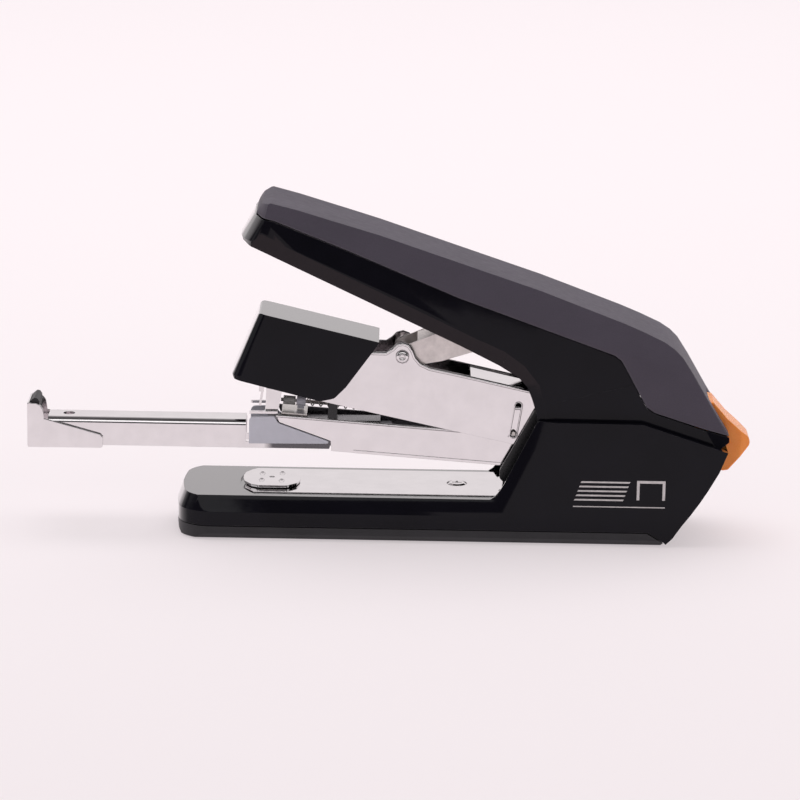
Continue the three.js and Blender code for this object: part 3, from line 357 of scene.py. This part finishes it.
# ---------------------------------------------------------------- meshes
def fine_copy(node, width, segments=3, angle=28, min_len=0.0, pick=None, name=None, profile=0.5, smooth_under=28, crease=0.0):
    """A new piece from a CAD node's solid: faces joined, chosen edges rounded, weighted normals."""
    src = NODES[node]
    bm = bmesh.new()
    bm.from_mesh(src.data)
    bmesh.ops.remove_doubles(bm, verts=bm.verts, dist=2e-6)
    bmesh.ops.dissolve_limit(bm, angle_limit=math.radians(1.0), verts=bm.verts, edges=bm.edges, use_dissolve_boundaries=False)
    bm.normal_update()
    chosen = []
    for e in bm.edges:
        if len(e.link_faces) != 2:
            continue
        a = e.calc_face_angle(0)
        if a > math.radians(angle) and e.is_convex and e.calc_length() > min_len:
            if pick is None or pick(e, (e.verts[0].co + e.verts[1].co) / 2, a):
                chosen.append(e)
    w = width
    if chosen:
        bmesh.ops.bevel(bm, geom=chosen, offset=w, offset_type="OFFSET", segments=segments, profile=profile, affect="EDGES", clamp_overlap=True, miter_outer="ARC", miter_inner="SHARP", harden_normals=False)
    bmesh.ops.remove_doubles(bm, verts=bm.verts, dist=2e-6)
    mesh = bpy.data.meshes.new((name or node + "_fine"))
    bm.normal_update()
    for f in bm.faces:
        f.smooth = True
    for e in bm.edges:
        e.smooth = not (len(e.link_faces) == 2 and e.calc_face_angle(0) > math.radians(smooth_under))
        if crease and len(e.link_faces) == 2:
            n1, n2 = (abs(f.normal.y) for f in e.link_faces)
            if max(n1, n2) > 0.9999 and 0.9 < min(n1, n2) < 1 - crease:
                e.smooth = False
    bm.to_mesh(mesh)
    bm.free()
    obj = bpy.data.objects.new(name or node + "_fine", mesh)
    scene.collection.objects.link(obj)
    wn = obj.modifiers.new("weighted", "WEIGHTED_NORMAL")
    wn.weight = 100
    wn.keep_sharp = True
    body = src["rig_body"]
    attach(obj, body)
    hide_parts(node)
    dress(obj, SPECIAL.get(node) or SLOT[NODE_SLOT[node]])
    return obj


def body_name(node):
    return NODES[node]["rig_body"]


def new_piece(name, bm, body, material, smooth_under=35):
    bmesh.ops.recalc_face_normals(bm, faces=bm.faces)
    for f in bm.faces:
        f.smooth = True
    for e in bm.edges:
        e.smooth = not (len(e.link_faces) == 2 and e.calc_face_angle(0) > math.radians(smooth_under))
    mesh = bpy.data.meshes.new(name)
    bm.to_mesh(mesh)
    bm.free()
    obj = bpy.data.objects.new(name, mesh)
    scene.collection.objects.link(obj)
    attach(obj, body)
    dress(obj, material)
    return obj


def tube(bm, path, radius, n=10):
    """A round bead along a path of points; ends closed."""
    rings = []
    for i, p in enumerate(path):
        a = path[max(i - 1, 0)]
        b = path[min(i + 1, len(path) - 1)]
        d = (b - a).normalized()
        side = Vector((0, 1, 0))
        up = d.cross(side).normalized()
        # keep the width through a bend
        k = 1.0
        if 0 < i < len(path) - 1:
            c = (p - path[i - 1]).normalized().dot((path[i + 1] - p).normalized())
            k = 1.0 / max(math.sqrt((1 + c) / 2), 0.6)
        rings.append([bm.verts.new(p + side * math.cos(w) * radius + up * math.sin(w) * radius * k) for w in [2 * math.pi * j / n for j in range(n)]])
    for r0, r1 in zip(rings, rings[1:]):
        for j in range(n):
            bm.faces.new((r0[j], r0[(j + 1) % n], r1[(j + 1) % n], r1[j]))
    bm.faces.new(rings[0])
    bm.faces.new(rings[-1][::-1])


def rim_paths(node, y, keep):
    """Chains of the outline edges of a wall's outer face at Y = y whose middle passes keep(point, outward)."""
    bm = bmesh.new()
    bm.from_mesh(NODES[node].data)
    bmesh.ops.remove_doubles(bm, verts=bm.verts, dist=2e-6)
    bm.normal_update()
    sgn = 1 if y > 0 else -1
    nexts = {}
    pts = {}
    for e in bm.edges:
        if len(e.link_faces) != 2:
            continue
        if any(abs(v.co.y - y) > 0.03 * MM for v in e.verts):
            continue
        flat = [f for f in e.link_faces if f.normal.y * sgn > 0.95]
        other = [f for f in e.link_faces if abs(f.normal.y) < 0.3]
        if len(flat) != 1 or len(other) != 1:
            continue
        mid = (e.verts[0].co + e.verts[1].co) / 2
        if not keep(mid / MM, other[0].normal):
            continue
        a, b = e.verts[0].index, e.verts[1].index
        for v in e.verts:
            pts[v.index] = v.co.copy()
        nexts.setdefault(a, []).append((b, other[0].normal.copy()))
        nexts.setdefault(b, []).append((a, other[0].normal.copy()))
    chains = []
    seen = set()
    starts = sorted(nexts, key=lambda v: (len(nexts[v]), pts[v].x, pts[v].z))
    for v in starts:
        if v in seen:
            continue
        chain = [v]
        seen.add(v)
        while True:
            more = [w for w, _ in nexts[chain[-1]] if w not in seen]
            if not more:
                break
            chain.append(more[0])
            seen.add(more[0])
        if len(chain) > 2 and any(w == v for w, _ in nexts[chain[-1]]):
            chain.append(v)
        if len(chain) > 1:
            out = []
            for c in chain:
                n = Vector((0, 0, 0))
                for _, m in nexts[c]:
                    n += m
                n.normalize()
                out.append((pts[c], n))
            chains.append(out)
    bm.free()
    return chains


def beads(name, node, y, keep, radius, sink, inset, material):
    """The rolled rim of a pressed wall."""
    bm = bmesh.new()
    sgn = 1 if y > 0 else -1
    for chain in rim_paths(node, y * MM, keep):
        path = [p - n * sink * MM - Vector((0, sgn * inset * MM, 0)) for p, n in chain]
        slim = [path[0]]
        for q in path[1:]:
            if (q - slim[-1]).length > 0.25 * MM:
                slim.append(q)
        if len(slim) > 1:
            tube(bm, slim, radius * MM)
    return new_piece(name, bm, body_name(node), material, 50)


def lathe_y(bm, x, z, profile, n=48):
    """A turned shape about a line along Y; profile is (radius, y) in mm, from one end to the other."""
    rings = []
    for r, y in profile:
        if r == 0:
            rings.append([bm.verts.new((x * MM, y * MM, z * MM))])
        else:
            rings.append([bm.verts.new(((x + r * math.cos(w)) * MM, y * MM, (z + r * math.sin(w)) * MM)) for w in [2 * math.pi * j / n for j in range(n)]])
    for a, b in zip(rings, rings[1:]):
        for j in range(n):
            i = (j + 1) % n
            if len(a) == 1:
                bm.faces.new((a[0], b[j], b[i]))
            elif len(b) == 1:
                bm.faces.new((a[j], a[i], b[0]))
            else:
                bm.faces.new((a[j], a[i], b[i], b[j]))


def bars(bm, polys, y0, y1):
    """Flat shapes in XZ, in mm, given thickness from y0 to y1."""
    for poly in polys:
        a = [bm.verts.new((x * MM, y0 * MM, z * MM)) for x, z in poly]
        b = [bm.verts.new((x * MM, y1 * MM, z * MM)) for x, z in poly]
        bm.faces.new(a)
        bm.faces.new(b[::-1])
        for i in range(len(poly)):
            j = (i + 1) % len(poly)
            bm.faces.new((a[i], b[i], b[j], a[j]))


for name, obj in NODES.items():
    dress(obj, SPECIAL.get(name) or SLOT[NODE_SLOT[name]])

# moulded parts with their soft edges
def outer(half, bottom=-0.2):
    """Edges between outside faces only: nothing on the inner faces or the bottom rim."""

    def pick(e, mid, a):
        return all(f.normal.z > bottom and (abs(f.normal.y) < 0.5 or abs(f.calc_center_median().y) > half * MM) for f in e.link_faces)

    return pick


fine_copy("handle_cover", 0.9 * MM, 4, 30, pick=outer(15.5))
fine_copy("base_shell", 0.35 * MM, 3, 30)
fine_copy("bottom_cover", 0.3 * MM, 2, 35)
fine_copy("head_cover", 0.8 * MM, 4, 25, pick=lambda e, m, a: abs(m.y) > 10.2 * MM and all(f.normal.z > -0.3 and f.normal.x < 0.5 for f in e.link_faces))
fine_copy("handle_shell", 0.3 * MM, 3, 40, pick=lambda e, m, a: abs(m.y) > 15.6 * MM, crease=0.004)
fine_copy("drawer_cap", 0.12 * MM, 2, 30)
fine_copy("bed_plate", 0.2 * MM, 3, 30)
fine_copy("anvil_plate", 0.15 * MM, 2, 35)
fine_copy("release_button", 0.5 * MM, 3, 30)
fine_copy("nose_guide_near", 0.25 * MM, 3, 30)
fine_copy("nose_guide_far", 0.25 * MM, 3, 30)

# rolled rims of the arm and the magazine
for k, word in ((-1, "near"), (1, "far")):
    beads("arm_rim_" + word, "arm_frame", k * 8.7, lambda p, n: n.z > 0.15 and p.z > 34, 0.62, 0.4, 0.2, M_CHROME)
    beads("magazine_rim_" + word, "magazine_channel", k * 7.4, lambda p, n: n.z > 0.15 and p.z > 26, 0.5, 0.32, 0.15, M_CHROME)

for k, word in ((-1, "near"), (1, "far")):
    beads("arm_slot_rim_" + word, "arm_frame", k * 8.7, lambda p, n: 28.5 < p.x < 34 and 32.5 < p.z < 46.2, 0.24, 0.22, -0.04, M_CHROME)
    beads("cap_rim_" + word, "drawer_cap", k * 6.35, lambda p, n: n.z > 0.1, 0.27, 0.25, 0.12, M_CHROME)


def spring(node, a, b, radius, wire, turns):
    """A wound spring from a to b, in mm, of round wire."""
    a, b = Vector((a[0], 0, a[1])) * MM, Vector((b[0], 0, b[1])) * MM
    d = (b - a).normalized()
    u = Vector((0, 1, 0))
    v = d.cross(u)
    length = (b - a).length
    bm = bmesh.new()
    steps = int(turns * 16)
    rings = []
    for i in range(steps + 1):
        t = i / steps
        w = 2 * math.pi * turns * t
        p = a + d * (length * t) + (u * math.cos(w) + v * math.sin(w)) * radius * MM
        out = u * math.cos(w) + v * math.sin(w)
        rings.append([bm.verts.new(p + (out * math.cos(q) + d * math.sin(q)) * wire * MM) for q in [2 * math.pi * j / 8 for j in range(8)]])
    for r0, r1 in zip(rings, rings[1:]):
        for j in range(8):
            bm.faces.new((r0[j], r0[(j + 1) % 8], r1[(j + 1) % 8], r1[j]))
    bm.faces.new(rings[0])
    bm.faces.new(rings[-1][::-1])
    o = new_piece(node + "_wound", bm, body_name(node), M_STEEL, 50)
    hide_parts(node)
    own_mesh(o)
    return o


spring("pusher_spring", (-37.55, 42.3), (55.2, 35.82), 1.2, 0.22, 34)
spring("button_spring", (86.9, 38.6), (97.3, 38.6), 1.45, 0.28, 6)

# domed rivet with a rolled ring and a peened middle
bm = bmesh.new()
head = [(0, 9.45), (0.55, 9.5), (0.75, 9.62), (0.95, 9.5), (1.15, 9.78), (1.6, 9.72), (2.0, 9.45), (2.25, 9.05), (2.3, 8.75)]
lathe_y(bm, -6.3, 60.2, [(r, -y) for r, y in head] + [(1.2, -8.7), (1.2, 8.7)] + [(r, y) for r, y in reversed(head)])
rivet = new_piece("link_rivet_turned", bm, body_name("link_rivet"), M_CHROME, 60)
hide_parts("link_rivet")

# plain pictogram on the near wall of the tower: a stack of sheets and a staple, no lettering
M_SILVER = steel("silver_ink", (0.62, 0.60, 0.60), 0.34, stretch=(1, 1, 1))
bm = bmesh.new()
polys = []
for i in range(5):
    z = 15.6 + i * 1.5
    polys.append([(50.5 + i * 0.5, z), (66.5 + i * 0.5, z), (66.9 + i * 0.5, z + 0.55), (50.9 + i * 0.5, z + 0.55)])
polys += [
    [(71.0, 16.0), (71.9, 16.0), (71.9, 22.6), (71.0, 22.6)],
    [(71.9, 21.7), (79.4, 21.7), (79.4, 22.6), (71.9, 22.6)],
    [(79.4, 16.0), (80.3, 16.0), (80.3, 22.6), (79.4, 22.6)],
    [(50.3, 13.4), (80.3, 13.4), (80.3, 13.75), (50.3, 13.75)],
]
bars(bm, polys, -20.03, -19.9)
new_piece("tower_pictogram", bm, body_name("base_shell"), M_SILVER)

# ---------------------------------------------------------------- stage
def area(name, loc, size, look, radiance, color=(1, 1, 1)):
    d = bpy.data.lights.new(name, "AREA")
    d.shape = "RECTANGLE"
    d.size, d.size_y = size
    d.energy = radiance * math.pi * size[0] * size[1]
    d.color = color
    o = bpy.data.objects.new(name, d)
    scene.collection.objects.link(o)
    o.location = loc
    o.rotation_mode = "QUATERNION"
    o.rotation_quaternion = (Vector(look) - Vector(loc)).to_track_quat("-Z", "Y")
    o.visible_camera = False
    return o


bm = bmesh.new()
bmesh.ops.create_grid(bm, x_segments=8, y_segments=8, size=6.0)
mesh = bpy.data.meshes.new("floor")
bm.to_mesh(mesh)
bm.free()
floor = bpy.data.objects.new("floor", mesh)
scene.collection.objects.link(floor)
floor.location = (0, 5.15, -0.00005)
k = Mat("pale_floor").set(Specular_IOR_Level=0.1, Roughness=0.9, Emission_Color=(0.93, 0.855, 0.88, 1), Emission_Strength=0.56)
cloud = k.noise(0.4, 2)
k.put(k.b.inputs["Emission Strength"], k.remap(k.axis(1), -5.5, -4.0, 0.5, 0.645))
floor.data.materials.append(k.out(k.mix(cloud, (0.46, 0.428, 0.437), (0.47, 0.437, 0.446))))

world = bpy.data.worlds.new("studio")
scene.world = world
world.use_nodes = True
wt = world.node_tree
wt.nodes.clear()
wout = wt.nodes.new("ShaderNodeOutputWorld")
dim = wt.nodes.new("ShaderNodeBackground")
dim.inputs[0].default_value = (1.0, 0.95, 0.965, 1)
dim.inputs[1].default_value = 0.6
pale = wt.nodes.new("ShaderNodeBackground")
pale.inputs[0].default_value = (0.98, 0.925, 0.94, 1)
pale.inputs[1].default_value = 0.95
path = wt.nodes.new("ShaderNodeLightPath")
mixer = wt.nodes.new("ShaderNodeMixShader")
wt.links.new(path.outputs["Is Camera Ray"], mixer.inputs[0])
way = wt.nodes.new("ShaderNodeTexCoord")
parts = wt.nodes.new("ShaderNodeSeparateXYZ")
wt.links.new(way.outputs["Generated"], parts.inputs[0])


def ramp(v, a, b, c, d):
    n = wt.nodes.new("ShaderNodeMapRange")
    wt.links.new(v, n.inputs[0])
    for i, x in enumerate((a, b, c, d)):
        n.inputs[i + 1].default_value = x
    return n.outputs[0]


# the room is dark in front of the object and overhead
low = wt.nodes.new("ShaderNodeMath")
low.operation = "MULTIPLY"
low.inputs[0].default_value = 1.0
wt.links.new(ramp(parts.outputs[1], 0.3, 0.65, 1, 0), low.inputs[1])
wt.links.new(ramp(low.outputs[0], 0, 1, 0.6, 0.1), dim.inputs[1])
wt.links.new(dim.outputs[0], mixer.inputs[1])
wt.links.new(pale.outputs[0], mixer.inputs[2])
wt.links.new(mixer.outputs[0], wout.inputs[0])

area("softbox_top", (0.0, 0.35, 1.5), (2.2, 1.7), (0, 0.1, 0), 1.95, (1.0, 0.985, 0.99)).visible_glossy = False
area("softbox_back", (0.0, 2.1, 0.72), (3.4, 1.3), (0, 0, 0.2), 0.29, (1.0, 0.95, 0.955))
area("softbox_front", (0.0, -2.3, 1.25), (3.0, 0.8), (0, 0, 0), 1.35, (1.0, 0.985, 0.99))
area("softbox_left", (-1.9, -0.3, 0.8), (1.4, 1.4), (0, 0, 0), 0.7)
area("softbox_right", (1.9, -0.3, 0.8), (1.4, 1.4), (0, 0, 0), 0.7)

cam_data = bpy.data.cameras.new("camera")
cam = bpy.data.objects.new("camera", cam_data)
scene.collection.objects.link(cam)
scene.camera = cam
el = math.radians(14.4)
target = Vector((-6.84 * MM, 0, 43.3 * MM))
fwd = Vector((0, math.cos(el), -math.sin(el)))
cam.location = target - fwd * 1.3
q = fwd.to_track_quat("-Z", "Y")
cam.rotation_mode = "QUATERNION"
cam.rotation_quaternion = Quaternion(fwd, math.radians(-1.0)) @ q
cam_data.lens = 177.3
cam_data.sensor_width = 36
cam_data.clip_start = 0.05
cam_data.clip_end = 30

scene.view_settings.view_transform = "Standard"
scene.view_settings.look = "None"
scene.view_settings.exposure = 0
scene.view_settings.gamma = 1
